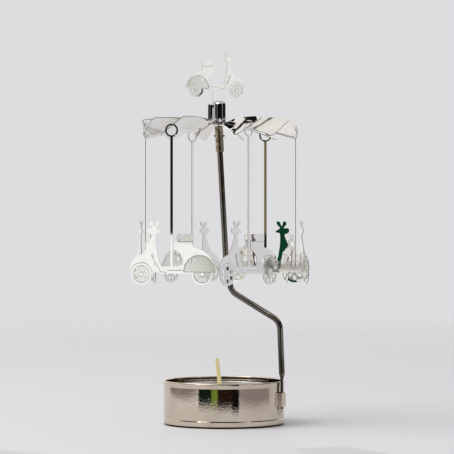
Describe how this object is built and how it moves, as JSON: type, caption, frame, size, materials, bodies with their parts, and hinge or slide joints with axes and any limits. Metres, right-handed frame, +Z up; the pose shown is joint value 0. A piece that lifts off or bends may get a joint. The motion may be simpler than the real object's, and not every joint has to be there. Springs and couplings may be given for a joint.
{
  "type": "candle carousel",
  "caption": "Rotary tealight holder: round metal cup, bent wire stand, needle-borne bladed fan and flat scooter figures hanging from open rings.",
  "frame": {"origin": "centre of the base cup's flat underside", "axes": "+Z up along the cup's axis, -Y towards the front of the cup, stand rod on the +X side"},
  "size_m": [0.0757, 0.0872, 0.1604],
  "materials": {
    "satin_tin": "satin tin plate",
    "thin_aluminium": "rolled",
    "wax": "soft wax",
    "wick_braid": "matt braid",
    "dark_steel": "drawn wire, dark nickel",
    "hard_steel": "hardened, polished",
    "bright_nickel": "mirror plate",
    "chrome": "polished"
  },
  "bodies": {
    "base": {"base_cup": "satin_tin"},
    "tealight": {"tealight_cup": "thin_aluminium", "tealight_wax": "wax", "wick_holder": "thin_aluminium", "wick": "wick_braid"},
    "stand": {"stand_rod": "dark_steel", "pivot_sleeve": "dark_steel", "sleeve_pin": "hard_steel", "pivot_needle": "hard_steel"},
    "rotor": {"fan_rotor": "bright_nickel", "hub_cap": "chrome", "hub_eyelet": "chrome", "bearing_cup": "hard_steel", "top_figure": "bright_nickel"},
    "pendant_1": {"scooter_pendant_1": "bright_nickel"},
    "pendant_2": {"scooter_pendant_2": "bright_nickel"},
    "pendant_3": {"scooter_pendant_3": "bright_nickel"},
    "pendant_4": {"scooter_pendant_4": "bright_nickel"},
    "pendant_5": {"scooter_pendant_5": "bright_nickel"},
    "pendant_6": {"scooter_pendant_6": "bright_nickel"}
  },
  "joints": [
    {"name": "tealight_lift", "type": "slide", "parent": "base", "child": "tealight", "axis": [0, 0, 1], "range_m": [0, 0.02]},
    {"name": "stand_lift", "type": "slide", "parent": "base", "child": "stand", "axis": [0, 0, 1], "range_m": [0, 0.012]},
    {"name": "rotor_spin", "type": "hinge", "parent": "stand", "child": "rotor", "pos_m": [-0.00183, 0, 0.1375], "axis": [0, 0, 1], "continuous": true},
    {"name": "pendant_1_swing", "type": "hinge", "parent": "rotor", "child": "pendant_1", "pos_m": [0.03045, -0.00454, 0.12517], "axis": [-0.9563, -0.2924, 0], "range_deg": [-6, 6]},
    {"name": "pendant_2_swing", "type": "hinge", "parent": "rotor", "child": "pendant_2", "pos_m": [0.01824, 0.02569, 0.12517], "axis": [-0.225, -0.9744, 0], "range_deg": [-6, 6]},
    {"name": "pendant_3_swing", "type": "hinge", "parent": "rotor", "child": "pendant_3", "pos_m": [-0.01404, 0.03023, 0.12517], "axis": [0.7314, -0.682, 0], "range_deg": [-6, 6]},
    {"name": "pendant_4_swing", "type": "hinge", "parent": "rotor", "child": "pendant_4", "pos_m": [-0.03411, 0.00454, 0.12517], "axis": [0.9563, 0.2924, 0], "range_deg": [-6, 6]},
    {"name": "pendant_5_swing", "type": "hinge", "parent": "rotor", "child": "pendant_5", "pos_m": [-0.0219, -0.02569, 0.12517], "axis": [0.225, 0.9744, 0], "range_deg": [-6, 6]},
    {"name": "pendant_6_swing", "type": "hinge", "parent": "rotor", "child": "pendant_6", "pos_m": [0.01038, -0.03023, 0.12517], "axis": [-0.7314, 0.682, 0], "range_deg": [-6, 6]}
  ]
}
